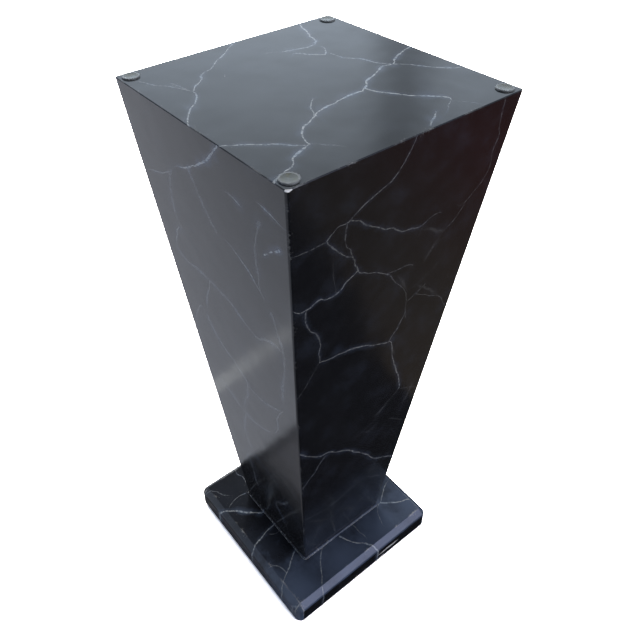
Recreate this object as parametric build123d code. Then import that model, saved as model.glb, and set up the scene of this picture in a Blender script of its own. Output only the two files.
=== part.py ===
from build123d import *
import math
import os

# A square pedestal that carries a loose table top: a hollow column, wide at the top and narrow at the foot,
# screwed to a flat square base. Millimetres. +Z is up, and the origin is on the floor, under the centre.
# Front is -Y, right is +X, back is +Y and left is -X.

# ---- overall sizes
TABLE_HEIGHT = 762.0  # floor to the upper face of the top board
TOP_WIDTH = 292.0  # side of the square top, at its upper face
FOOT_WIDTH = 150.0  # side of the column where it meets the base plate
BASE_WIDTH = 266.0  # side of the square base plate

# ---- base plate
BASE_THICKNESS = 38.0
BASE_BEVEL = 9.5  # bevel round the upper edge
BASE_BEVEL_EASE = 1.2  # rounding of the bevel's own two edges
BASE_FACE_CORNER_RADIUS = 1.5  # rounding of the upper face's corners, inside the bevel
BASE_LOWER_ROUND = 3.0  # rounding of the lower edge

# ---- column
PANEL_THICKNESS = 12.0  # side boards, measured square to their faces
TOP_THICKNESS = 19.0
FOOT_BOARD_THICKNESS = 25.0
CORNER_ROUND = 3.0  # rounding of the column's four long corners
TOP_EDGE_ROUND = 1.0  # rounding round the upper face
BATTEN_LEG = 28.0  # short sides of the three-cornered glue battens
CLEAT_WIDTH = 22.0
CLEAT_HEIGHT = 20.0

# ---- bead of filler round the foot
BEAD_WIDTH = 3.0
BEAD_HEIGHT = 3.5
BEAD_ROUND = 2.0

# ---- clear bumpers on the top
BUMPER_DIAMETER = 19.0
BUMPER_THICKNESS = 1.5
BUMPER_EDGE_ROUND = 0.6
BUMPER_DISH_DIAMETER = 14.5
BUMPER_DISH_DEPTH = 0.35
BUMPER_INSET = 13.0  # bumper's centre to each edge of the top

# ---- felt pads under the base
PAD_DIAMETER = 25.0
PAD_THICKNESS = 3.0
PAD_INSET = 28.0  # pad's centre to each side of the base

# ---- wood screws, base plate to foot board
SCREW_LENGTH = 56.0
SCREW_SHANK_DIAMETER = 4.2
SCREW_HEAD_DIAMETER = 8.2
SCREW_TIP = 5.0
SCREW_SINK = 0.5  # head below the base plate's lower face
SCREW_HOLE_GAP = 0.25  # round the shank, in the base plate
SCREW_INSET = 22.0  # screw to each side of the foot board
DRIVE_SLOT_WIDTH = 1.2
DRIVE_SLOT_LENGTH = 4.6
DRIVE_SLOT_DEPTH = 1.8

# ---- finishing nails, top board to cleats
NAIL_LENGTH = 32.0
NAIL_DIAMETER = 1.6
NAIL_HEAD_DIAMETER = 2.4
NAIL_HEAD_HEIGHT = 0.8
NAIL_TIP = 2.0
NAIL_SET = 2.0  # head below the upper face, under the finish
NAIL_SPACING = 140.0  # between the two nails of one side

# ---- sizes, levels and slope that follow
BASE_CORNER_RADIUS = BASE_FACE_CORNER_RADIUS + BASE_BEVEL  # rounding of the plate's corners, from above
BASE_UNDERSIDE_Z = PAD_THICKNESS
COLUMN_FOOT_Z = BASE_UNDERSIDE_Z + BASE_THICKNESS
TOP_UNDERSIDE_Z = TABLE_HEIGHT - TOP_THICKNESS
FOOT_BOARD_TOP_Z = COLUMN_FOOT_Z + FOOT_BOARD_THICKNESS
CLEAT_UNDERSIDE_Z = TOP_UNDERSIDE_Z - CLEAT_HEIGHT
SLOPE = (TOP_WIDTH - FOOT_WIDTH) / 2 / (TABLE_HEIGHT - COLUMN_FOOT_Z)

SIDES = {"right": 0, "back": 90, "left": 180, "front": 270}
CORNERS = {"back_right": 0, "back_left": 90, "front_left": 180, "front_right": 270}
ON_FLOOR = (Align.CENTER, Align.CENTER, Align.MIN)


def half_width(z, depth=0.0):
    """Half the column's width at height z, on a skin that lies depth inside its outer faces."""
    return FOOT_WIDTH / 2 + SLOPE * (z - COLUMN_FOOT_Z) - depth * math.sqrt(1 + SLOPE**2)


def tapered_block(z_low, z_high, depth=0.0):
    """Solid between two heights, with four sides parallel to the column's faces and depth inside them."""
    width = 2.2 * max(half_width(z_low, depth), half_width(z_high, depth))
    block = Pos(0, 0, z_low) * Box(width, width, z_high - z_low, align=ON_FLOOR)
    reach = half_width(z_low, depth)
    for x, y in ((1, 0), (0, 1), (-1, 0), (0, -1)):
        face = Plane(origin=(x * reach, y * reach, z_low), z_dir=(x, y, -SLOPE))
        block = split(block, bisect_by=face, keep=Keep.BOTTOM)
    return block


def rounded_column(z_low, z_high):
    """Outer shape of the column between two heights, with its long corners rounded."""
    block = tapered_block(z_low, z_high)
    corners = [edge for edge in block.edges() if abs(edge.tangent_at(0.5).Z) > 0.5]
    return fillet(corners, CORNER_ROUND)


def mitred_side(ring):
    """The right-hand quarter of a square ring, cut at its corners by two upright planes at 45 degrees."""
    for sign in (-1, 1):
        ring = split(ring, bisect_by=Plane(origin=(0, 0, 0), z_dir=(1, sign, 0)), keep=Keep.TOP)
    return ring


def around(shape, turns, name):
    """Copies of a shape turned about the column's axis, one node for each named place."""
    return {f"{name}_{place}": Rot(0, 0, turn) * shape for place, turn in turns.items()}


# ---- base


def screw():
    """One wood screw, point up, with its head under the base plate."""
    head_radius = SCREW_HEAD_DIAMETER / 2
    shank_radius = SCREW_SHANK_DIAMETER / 2
    head_height = head_radius - shank_radius
    profile = Polyline(
        (0, 0),
        (head_radius, 0),
        (shank_radius, head_height),
        (shank_radius, SCREW_LENGTH - SCREW_TIP),
        (0, SCREW_LENGTH),
        close=True,
    )
    body = revolve(Plane.XZ * make_face(profile), axis=Axis.Z)
    slot = Box(DRIVE_SLOT_LENGTH, DRIVE_SLOT_WIDTH, DRIVE_SLOT_DEPTH, align=ON_FLOOR)
    return body, body - slot - Rot(0, 0, 90) * slot


def screw_places():
    """Where the screws stand, at the height of their heads."""
    reach = half_width(COLUMN_FOOT_Z, PANEL_THICKNESS) - SCREW_INSET
    height = BASE_UNDERSIDE_Z + SCREW_SINK
    return [Pos(x, y, height) for x in (-reach, reach) for y in (-reach, reach)]


def lies_at(edge, level):
    """Whether an edge is level and at this height."""
    box = edge.bounding_box()
    return abs(box.min.Z - level) < 0.01 and abs(box.max.Z - level) < 0.01


def base_plate():
    """Square plate with rounded corners, a bevel above and a small rounding below."""
    plate = Pos(0, 0, BASE_UNDERSIDE_Z) * Box(BASE_WIDTH, BASE_WIDTH, BASE_THICKNESS, align=ON_FLOOR)
    plate = fillet(plate.edges().filter_by(Axis.Z), BASE_CORNER_RADIUS)
    plate = fillet(plate.faces().sort_by(Axis.Z)[0].edges(), BASE_LOWER_ROUND)
    plate = chamfer(plate.faces().sort_by(Axis.Z)[-1].edges(), BASE_BEVEL)
    levels = (COLUMN_FOOT_Z, COLUMN_FOOT_Z - BASE_BEVEL)
    for level in levels:
        rim = [edge for edge in plate.edges() if lies_at(edge, level)]
        plate = fillet(rim, BASE_BEVEL_EASE)
    blank = screw()[0]
    passage = Cylinder(SCREW_SHANK_DIAMETER / 2 + SCREW_HOLE_GAP, BASE_THICKNESS, align=ON_FLOOR)
    mouth = Pos(0, 0, -SCREW_SINK) * Cylinder(SCREW_HEAD_DIAMETER / 2, SCREW_SINK, align=ON_FLOOR)
    for place in screw_places():
        plate = plate - place * blank - place * passage - place * mouth
    return plate


def foot_board():
    """Board that closes the column's foot and takes the screws."""
    board = tapered_block(COLUMN_FOOT_Z, FOOT_BOARD_TOP_Z, PANEL_THICKNESS)
    blank = screw()[0]
    for place in screw_places():
        board = board - place * blank
    return board


def foot_screws():
    """The four screws, as one group."""
    return Compound(children=[place * screw()[1] for place in screw_places()])


def felt_pad():
    """The pad under the back right corner of the base."""
    reach = BASE_WIDTH / 2 - PAD_INSET
    return Pos(reach, reach, 0) * Cylinder(PAD_DIAMETER / 2, PAD_THICKNESS, align=ON_FLOOR)


def foot_bead():
    """Square bead of filler in the angle between the column and the base plate."""
    width = FOOT_WIDTH + 2 * BEAD_WIDTH
    bead = Pos(0, 0, COLUMN_FOOT_Z) * Box(width, width, BEAD_HEIGHT, align=ON_FLOOR)
    bead = fillet(bead.edges().filter_by(Axis.Z), CORNER_ROUND + BEAD_WIDTH)
    bead = fillet(bead.faces().sort_by(Axis.Z)[-1].edges(), BEAD_ROUND)
    return bead - rounded_column(COLUMN_FOOT_Z, COLUMN_FOOT_Z + BEAD_HEIGHT)


# ---- column


def side_panel():
    """The right-hand side board, mitred to its neighbours along both long edges."""
    outside = rounded_column(COLUMN_FOOT_Z, TOP_UNDERSIDE_Z)
    inside = tapered_block(COLUMN_FOOT_Z, TOP_UNDERSIDE_Z, PANEL_THICKNESS)
    return mitred_side(outside - inside)


def corner_block():
    """The glue batten in the back right corner, between the foot board and the cleats."""
    core = tapered_block(FOOT_BOARD_TOP_Z, CLEAT_UNDERSIDE_Z, PANEL_THICKNESS)
    corner = half_width(FOOT_BOARD_TOP_Z, PANEL_THICKNESS)
    face = Plane(origin=(corner - BATTEN_LEG, corner, FOOT_BOARD_TOP_Z), z_dir=(1, 1, -2 * SLOPE))
    return split(core, bisect_by=face, keep=Keep.TOP)


def nail():
    """One finishing nail, point down, with the top of its head at the origin."""
    head_radius = NAIL_HEAD_DIAMETER / 2
    radius = NAIL_DIAMETER / 2
    profile = Polyline(
        (0, 0),
        (head_radius, 0),
        (radius, -NAIL_HEAD_HEIGHT),
        (radius, NAIL_TIP - NAIL_LENGTH),
        (0, -NAIL_LENGTH),
        close=True,
    )
    return revolve(Plane.XZ * make_face(profile), axis=Axis.Z)


def nails_of_right_side():
    """The two nails that go into the right-hand cleat."""
    reach = half_width(TOP_UNDERSIDE_Z, PANEL_THICKNESS) - CLEAT_WIDTH / 2
    height = TABLE_HEIGHT - NAIL_SET
    return [Pos(reach, y, height) * nail() for y in (-NAIL_SPACING / 2, NAIL_SPACING / 2)]


def top_nails():
    """All the finishing nails, as one group."""
    nails = [Rot(0, 0, turn) * one for turn in SIDES.values() for one in nails_of_right_side()]
    return Compound(children=nails)


def top_cleat():
    """The right-hand batten under the top board, mitred to its neighbours."""
    core = tapered_block(CLEAT_UNDERSIDE_Z, TOP_UNDERSIDE_Z, PANEL_THICKNESS)
    room = 2 * (half_width(TOP_UNDERSIDE_Z, PANEL_THICKNESS) - CLEAT_WIDTH)
    hollow = Pos(0, 0, CLEAT_UNDERSIDE_Z) * Box(room, room, CLEAT_HEIGHT, align=ON_FLOOR)
    cleat = mitred_side(core - hollow)
    for one in nails_of_right_side():
        cleat = cleat - one
    return cleat


def top_board():
    """Square board over the four sides, its edges in line with their faces."""
    board = rounded_column(TOP_UNDERSIDE_Z, TABLE_HEIGHT)
    board = fillet(board.faces().sort_by(Axis.Z)[-1].edges(), TOP_EDGE_ROUND)
    for turn in SIDES.values():
        for one in nails_of_right_side():
            board = board - Rot(0, 0, turn) * one
    return board


def bumper():
    """The clear disc at the back right corner of the top, rounded outside and dished in the middle."""
    radius = BUMPER_DIAMETER / 2
    disc = Cylinder(radius, BUMPER_THICKNESS, align=ON_FLOOR)
    disc = fillet(disc.faces().sort_by(Axis.Z)[-1].edges(), BUMPER_EDGE_ROUND)
    dish_radius = ((BUMPER_DISH_DIAMETER / 2) ** 2 + BUMPER_DISH_DEPTH**2) / (2 * BUMPER_DISH_DEPTH)
    dish = Pos(0, 0, BUMPER_THICKNESS - BUMPER_DISH_DEPTH + dish_radius) * Sphere(dish_radius)
    reach = TOP_WIDTH / 2 - BUMPER_INSET
    return Pos(reach, reach, TABLE_HEIGHT) * (disc - dish)


# ---- the whole pedestal


def pedestal():
    """Every node, by name."""
    nodes = {
        "base_plate": base_plate(),
        "foot_board": foot_board(),
        "foot_screws": foot_screws(),
        "foot_bead": foot_bead(),
        "top_board": top_board(),
        "top_nails": top_nails(),
    }
    nodes.update(around(side_panel(), SIDES, "side_panel"))
    nodes.update(around(top_cleat(), SIDES, "top_cleat"))
    nodes.update(around(corner_block(), CORNERS, "corner_block"))
    nodes.update(around(bumper(), CORNERS, "bumper"))
    nodes.update(around(felt_pad(), CORNERS, "felt_pad"))
    return nodes


os.makedirs("parts", exist_ok=True)
for name, shape in pedestal().items():
    export_step(shape, f"parts/{name}.step")
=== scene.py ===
"""A tapered pedestal for a loose table top, in black lacquer with hand-painted marble veins.

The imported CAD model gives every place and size. This script builds the visible skins of the pedestal
around it, paints each face with its own veins, and sets up the floor, the light and the camera.
All lengths are metres unless a name says otherwise. Front is -Y, right is +X.
"""
import functools
import itertools
import logging
import math
from collections.abc import Callable, Iterable, Mapping, Sequence
from dataclasses import dataclass, field
from enum import Enum

import bmesh
import bpy
from mathutils import Matrix, Vector, noise


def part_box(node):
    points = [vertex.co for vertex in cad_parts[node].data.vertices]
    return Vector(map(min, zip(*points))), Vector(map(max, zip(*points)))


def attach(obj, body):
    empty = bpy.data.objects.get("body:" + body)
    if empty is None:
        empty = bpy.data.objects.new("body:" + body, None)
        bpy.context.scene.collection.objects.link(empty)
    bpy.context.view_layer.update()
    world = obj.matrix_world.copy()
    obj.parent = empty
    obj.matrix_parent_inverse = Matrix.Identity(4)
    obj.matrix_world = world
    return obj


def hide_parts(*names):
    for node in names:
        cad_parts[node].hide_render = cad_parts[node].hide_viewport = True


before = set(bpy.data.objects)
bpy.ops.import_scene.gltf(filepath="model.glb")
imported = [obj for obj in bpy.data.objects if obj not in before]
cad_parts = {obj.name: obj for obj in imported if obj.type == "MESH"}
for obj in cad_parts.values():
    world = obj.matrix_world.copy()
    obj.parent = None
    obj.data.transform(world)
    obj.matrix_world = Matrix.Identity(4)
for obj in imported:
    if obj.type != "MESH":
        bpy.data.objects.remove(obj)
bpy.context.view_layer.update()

MM = 0.001
BODY = "root"
LOG = logging.getLogger("pedestal")

Colour = tuple[float, float, float, float]
Route = tuple[tuple[float, float], ...]
NodeSocket = bpy.types.NodeSocket
Mesh = bmesh.types.BMesh
Value = float | Sequence[float] | NodeSocket
BLACK: Colour = (0.0, 0.0, 0.0, 1.0)
WHITE: Colour = (1.0, 1.0, 1.0, 1.0)


# ---------------------------------------------------------------- wiring of materials


class Socket(Enum):
    """Kinds of socket on a node group."""

    NUMBER = "NodeSocketFloat"
    PLACE = "NodeSocketVector"


class Bench:
    """Places and joins the nodes of one material or one node group."""

    def __init__(self, tree: bpy.types.NodeTree) -> None:
        """Works on a node tree.

        Args:
            tree: The tree that every node is added to.
        """
        self.tree = tree

    def node(
        self, kind: str, inputs: Mapping[str | int, Value] | None = None, **settings: object
    ) -> bpy.types.Node:
        """Adds one node.

        Args:
            kind: Blender's name for the type of node.
            inputs: For each input, a number, a colour or the socket that feeds it.
            settings: The node's own options.

        Returns:
            The new node.
        """
        made = self.tree.nodes.new(kind)
        for name, value in settings.items():
            setattr(made, name, value)
        for socket, value in (inputs or {}).items():
            if isinstance(value, NodeSocket):
                self.tree.links.new(value, made.inputs[socket])
            else:
                made.inputs[socket].default_value = value
        return made

    def math(self, operation: str, a: Value, b: Value = 0.0, clamp: bool = False) -> NodeSocket:
        """Works out one sum.

        Args:
            operation: Blender's name for the sum.
            a: First number.
            b: Second number.
            clamp: Whether the result is held between 0 and 1.

        Returns:
            The result's socket.
        """
        made = self.node("ShaderNodeMath", {0: a, 1: b}, operation=operation, use_clamp=clamp)
        return made.outputs[0]

    def product(self, *factors: Value) -> NodeSocket:
        """Multiplies numbers together, from the first to the last."""
        return functools.reduce(lambda a, b: self.math("MULTIPLY", a, b), factors)

    def measure(self, operation: str, a: Value, b: Value = (0.0, 0.0, 0.0)) -> NodeSocket:
        """Measures one vector, or one vector against another.

        Args:
            operation: Blender's name for the measure.
            a: First vector.
            b: Second vector.

        Returns:
            The measured number's socket.
        """
        made = self.node("ShaderNodeVectorMath", {0: a, 1: b}, operation=operation)
        return made.outputs["Value"]

    def span(
        self, value: Value, low: Value, high: Value, to_low: Value = 0.0, to_high: Value = 1.0
    ) -> NodeSocket:
        """Turns one range of numbers smoothly into another.

        Args:
            value: The number to turn.
            low: The number that gives to_low.
            high: The number that gives to_high.
            to_low: Result at low.
            to_high: Result at high.

        Returns:
            The result's socket.
        """
        made = self.node(
            "ShaderNodeMapRange",
            {0: value, 1: low, 2: high, 3: to_low, 4: to_high},
            interpolation_type="SMOOTHSTEP",
        )
        return made.outputs[0]

    def blend(self, share: Value, a: Value, b: Value, how: str = "MIX") -> NodeSocket:
        """Mixes two colours.

        Args:
            share: How much of b, from 0 to 1.
            a: Colour at 0.
            b: Colour at 1.
            how: Blender's name for the way of mixing.

        Returns:
            The mixed colour's socket.
        """
        made = self.node("ShaderNodeMix", {0: share, 6: a, 7: b}, data_type="RGBA", blend_type=how)
        return made.outputs[2]

    def grain(
        self, place: Value, scale: float, detail: float = 2.0, rough: float = 0.5
    ) -> bpy.types.Node:
        """Adds soft random noise.

        Args:
            place: Where on the piece.
            scale: Waves to the metre.
            detail: Finer layers on top of the first.
            rough: How strong the finer layers are.

        Returns:
            The noise node.
        """
        return self.node(
            "ShaderNodeTexNoise", {"Vector": place, "Scale": scale, "Detail": detail, "Roughness": rough}
        )

    def moved(self, place: Value, offset: Value, how: str = "ADD") -> NodeSocket:
        """Adds, takes away or scales vectors.

        Args:
            place: First vector.
            offset: Second vector, or the factor for SCALE.
            how: Blender's name for the sum.

        Returns:
            The resulting vector's socket.
        """
        second: str | int = "Scale" if how == "SCALE" else 1
        made = self.node("ShaderNodeVectorMath", {0: place, second: offset}, operation=how)
        return made.outputs["Vector"]

    def effect(self, tree: bpy.types.NodeTree, inputs: Mapping[str, Value]) -> bpy.types.Node:
        """Adds a shared effect.

        Args:
            tree: The effect's node group.
            inputs: Its values.

        Returns:
            The group node.
        """
        return self.node("ShaderNodeGroup", inputs, node_tree=tree)

    def object_place(self) -> NodeSocket:
        """Returns the socket that gives a point's place on the piece, in metres."""
        return self.node("ShaderNodeTexCoord").outputs["Object"]


class Effect:
    """A shader node group with named inputs and outputs, built once."""

    def __init__(self, name: str, inputs: Mapping[str, Socket], outputs: Mapping[str, Socket]) -> None:
        """Makes the group with its sockets.

        Args:
            name: The group's name.
            inputs: Each input and its kind.
            outputs: Each output and its kind.
        """
        self.tree = bpy.data.node_groups.new(name, "ShaderNodeTree")
        for direction, sockets in (("INPUT", inputs), ("OUTPUT", outputs)):
            for socket, kind in sockets.items():
                self.tree.interface.new_socket(socket, in_out=direction, socket_type=kind.value)
        self.bench = Bench(self.tree)
        self.given = self.bench.node("NodeGroupInput").outputs
        self.result = self.bench.node("NodeGroupOutput").inputs

    def gives(self, output: str, socket: NodeSocket) -> None:
        """Joins a socket to a named output.

        Args:
            output: The group's output.
            socket: What feeds it.
        """
        self.tree.links.new(socket, self.result[output])


def unsteady_hand() -> bpy.types.NodeTree:
    """Builds the shake of a painter's hand: a slow wander and a quick jitter of the place."""
    inputs = {"Place": Socket.PLACE, "Wander": Socket.NUMBER, "Jitter": Socket.NUMBER}
    effect = Effect("unsteady_hand", inputs, {"Place": Socket.PLACE})
    bench, given = effect.bench, effect.given
    place: Value = given["Place"]
    for scale, amount in ((62.0, "Wander"), (240.0, "Jitter")):
        shake = bench.grain(given["Place"], scale, 1.0).outputs["Color"]
        centred = bench.moved(shake, (0.5, 0.5, 0.5), "SUBTRACT")
        place = bench.moved(place, bench.moved(centred, given[amount], "SCALE"))
    effect.gives("Place", place)
    return effect.tree


def painted_vein() -> bpy.types.NodeTree:
    """Builds one brushed vein beside a straight chord: its line and the haze round it."""
    numbers = (
        "Along", "Across", "Bend", "Reach", "Length", "Width", "Boldness", "Haze",
        "Fades In", "Fades Out", "Pressure", "Bristle",
    )
    effect = Effect(
        "painted_vein",
        {name: Socket.NUMBER for name in numbers},
        {"Line": Socket.NUMBER, "Haze": Socket.NUMBER},
    )
    bench, given = effect.bench, effect.given
    bend = bench.product(bench.math("SUBTRACT", given["Bend"], 0.5), given["Reach"])
    side = bench.math("SUBTRACT", given["Across"], bench.product(bend, 2.0))
    from_middle = bench.math("ABSOLUTE", bench.math("SUBTRACT", given["Along"], 0.5))
    past_end = bench.math("MAXIMUM", bench.math("SUBTRACT", from_middle, 0.5), 0.0)
    beyond = bench.product(past_end, given["Length"])
    squares = bench.math("ADD", bench.product(side, side), bench.product(beyond, beyond))
    away = bench.math("SQRT", squares)
    start = bench.product(given["Fades In"], bench.span(given["Along"], 0.0, 0.4, 1.0, 0.0))
    end = bench.product(given["Fades Out"], bench.span(given["Along"], 0.6, 1.0, 0.0, 1.0))
    taper = bench.math("SUBTRACT", 1.0, bench.math("MAXIMUM", start, end), clamp=True)
    pressed = bench.product(given["Width"], bench.span(given["Pressure"], 0.25, 0.75, 0.5, 1.5))
    width = bench.product(pressed, bench.span(taper, 0.0, 1.0, 0.45, 1.0))
    stroke = bench.span(away, bench.product(width, 0.25), width, 1.0, 0.0)
    broken = bench.span(given["Bristle"], 0.36, 0.62, 0.25, 1.15)
    strength = bench.product(broken, given["Boldness"], taper, stroke)
    soft = bench.span(away, 0.0, bench.product(width, 7.0), 1.0, 0.0)
    glow = bench.product(bench.math("POWER", soft, 2.0), bench.product(taper, given["Haze"]))
    uneven = bench.span(given["Pressure"], 0.3, 0.7, 0.45, 1.2)
    effect.gives("Line", strength)
    effect.gives("Haze", bench.product(glow, uneven))
    return effect.tree


def colour_bloom() -> bpy.types.NodeTree:
    """Builds a soft patch: thinned paint dabbed on beside a vein, and where it is wide, painted light."""
    inputs = {
        "Place": Socket.PLACE, "Centre": Socket.PLACE, "Radius": Socket.NUMBER, "Cloud": Socket.NUMBER,
    }
    effect = Effect("colour_bloom", inputs, {"Mask": Socket.NUMBER})
    bench, given = effect.bench, effect.given
    away = bench.measure("DISTANCE", given["Place"], given["Centre"])
    ragged = bench.product(away, bench.span(given["Cloud"], 0.3, 0.7, 1.5, 0.7))
    mask = bench.span(ragged, 0.0, given["Radius"], 1.0, 0.0)
    effect.gives("Mask", bench.math("POWER", mask, 1.3))
    return effect.tree


def rubbed_edge() -> bpy.types.NodeTree:
    """Builds the patchy wear of a lacquered edge that has been knocked and wiped."""
    inputs = {
        "Place": Socket.PLACE, "Distance": Socket.NUMBER, "Reach": Socket.NUMBER, "From": Socket.NUMBER,
    }
    effect = Effect("rubbed_edge", inputs, {"Mask": Socket.NUMBER})
    bench, given = effect.bench, effect.given
    ragged = bench.span(bench.grain(given["Place"], 420.0, 3.0, 0.6).outputs[0], 0.3, 0.7, 0.2, 1.8)
    near = bench.span(bench.product(given["Distance"], ragged), 0.0, given["Reach"], 1.0, 0.0)
    full = bench.math("ADD", given["From"], 0.18)
    patch = bench.span(bench.grain(given["Place"], 34.0, 2.0).outputs[0], given["From"], full)
    effect.gives("Mask", bench.product(near, patch))
    return effect.tree


def lacquer_skin() -> bpy.types.NodeTree:
    """Builds the surface of brushed and rubbed lacquer: its roughness and its low waves."""
    inputs = {"Place": Socket.PLACE, "Roughness": Socket.NUMBER, "Variation": Socket.NUMBER}
    effect = Effect("lacquer_skin", inputs, {"Roughness": Socket.NUMBER, "Height": Socket.NUMBER})
    bench, given = effect.bench, effect.given
    smear = bench.grain(given["Place"], 11.0, 4.0, 0.62).outputs[0]
    speck = bench.grain(given["Place"], 900.0, 1.0).outputs[0]
    smeared = bench.span(smear, 0.3, 0.7, -0.6, 1.0)
    change = bench.math("ADD", smeared, bench.span(speck, 0.62, 0.75, 0.0, 0.5))
    varied = bench.product(change, given["Variation"])
    effect.gives("Roughness", bench.math("ADD", given["Roughness"], varied))
    wave = bench.product(bench.grain(given["Place"], 26.0, 1.0).outputs[0], 0.55)
    peel = bench.product(bench.grain(given["Place"], 520.0, 1.0).outputs[0], 0.003)
    effect.gives("Height", bench.math("ADD", wave, peel))
    return effect.tree


class Effects:
    """The shared node groups of this object."""

    def __init__(self) -> None:
        """Builds every group once."""
        self.hand = unsteady_hand()
        self.vein = painted_vein()
        self.bloom = colour_bloom()
        self.rub = rubbed_edge()
        self.skin = lacquer_skin()


Measure = Callable[[Bench, NodeSocket], NodeSocket]


# ---------------------------------------------------------------- painted veins


class Stroke(Enum):
    """How a vein was painted: width in millimetres, boldness of its line, strength of its haze."""

    BOLD = (1.25, 1.00, 0.34)
    CLEAR = (1.00, 0.66, 0.22)
    PLAIN = (0.85, 0.40, 0.08)
    FAINT = (0.75, 0.19, 0.05)
    SMOKE = (2.6, 0.20, 0.08)
    SCRAPE = (2.6, 2.6, 0.0)


class Ends(Enum):
    """Which ends of a vein run out: its first end, its last end."""

    JOINED = (0.0, 0.0)
    FADES_OUT = (0.0, 1.0)
    LOOSE = (1.0, 1.0)


@dataclass(frozen=True)
class Vein:
    """One painted vein.

    Its route never turns back along its chord, so that a curve beside the chord can follow it.
    """

    route: Route  # millimetres on the face
    stroke: Stroke
    ends: Ends


@dataclass(frozen=True)
class Bloom:
    """A soft bluish patch: its centre on the face and its radius, in millimetres, and its strength. Small
    ones are thinned paint beside a vein; the wide ones on the base are painted light.
    """

    centre: tuple[float, float]
    radius: float
    strength: float = 0.3


TURN_HEIGHT = 400.0  # millimetres, where an arrangement is turned over


def veins_of(stroke: Stroke, ends: Ends, *routes: Route) -> tuple[Vein, ...]:
    """Gives several routes the same stroke and ends."""
    return tuple(Vein(route, stroke, ends) for route in routes)


def turned_over(veins: Iterable[Vein]) -> tuple[Vein, ...]:
    """Turns an arrangement upside down for a face that has no arrangement of its own.

    Args:
        veins: The arrangement.

    Returns:
        The same veins, turned half a turn on the face.
    """
    return tuple(
        Vein(tuple((-across, 2 * TURN_HEIGHT - up) for across, up in one.route), one.stroke, one.ends)
        for one in veins
    )


TOP_VEINS = (
    *veins_of(
        Stroke.BOLD, Ends.JOINED,
        ((-147, 100), (-130, 92), (-116, 88), (-104, 82), (-92, 79), (-83, 73)),
        ((-5, 147), (1, 125), (8, 108), (18, 96), (16, 80), (25, 62), (32, 46), (42, 34), (48, 24)),
        ((48, 24), (47, 10), (49, -5), (52, -20), (54, -33), (60, -45)),
        ((60, -45), (66, -58), (75, -73), (88, -82), (98, -84)),
        ((98, -84), (102, -95), (108, -108), (118, -118), (122, -130), (131, -147)),
        ((42, 34), (55, 33), (70, 42), (82, 49), (92, 58), (100, 67), (112, 76), (118, 72)),
    ),
    *veins_of(
        Stroke.CLEAR, Ends.JOINED,
        ((98, -84), (92, -95), (80, -105), (74, -115), (65, -125), (51, -147)),
        ((-147, 8), (-135, -10), (-120, -28), (-108, -44), (-98, -58), (-90, -73), (-78, -82), (-68, -95),
         (-58, -104)),
        ((-58, -104), (-40, -112), (-28, -125), (-15, -136), (5, -147)),
        ((-83, 73), (-78, 62), (-79, 50), (-82, 38), (-85, 28)),
        ((-68, 70), (-58, 66), (-49, 58)),
        ((-49, 58), (-58, 47), (-70, 38), (-73, 33)),
        ((30, -24), (42, -36), (54, -43), (62, -49)),
        ((125, 44), (132, 34), (140, 20)),
        ((-28, 66), (-15, 78), (-5, 82), (8, 86), (17, 93), (28, 104), (40, 112), (50, 118), (70, 147)),
    ),
    *veins_of(
        Stroke.PLAIN, Ends.JOINED,
        ((-58, -104), (-75, -110), (-90, -118), (-105, -128), (-130, -138)),
        ((-49, 64), (-40, 66), (-28, 66)),
    ),
    *veins_of(
        Stroke.PLAIN, Ends.LOOSE,
        ((-85, 28), (-92, 16), (-98, 6)),
        ((-78, -54), (-65, -62)),
        ((115, 78), (122, 66), (130, 54)),
    ),
    *veins_of(
        Stroke.FAINT, Ends.FADES_OUT,
        ((98, -84), (110, -72), (128, -60)),
        ((-58, -104), (-80, -108), (-104, -112)),
        ((118, 72), (132, 84), (147, 92)),
    ),
)
TOP_BLOOMS = (
    Bloom((47, 2), 17), Bloom((54, -31), 15), Bloom((-82, 38), 12), Bloom((-28, -124), 15),
    Bloom((134, 30), 16), Bloom((96, 64), 16), Bloom((20, 92), 12), Bloom((100, -90), 12),
)

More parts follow.
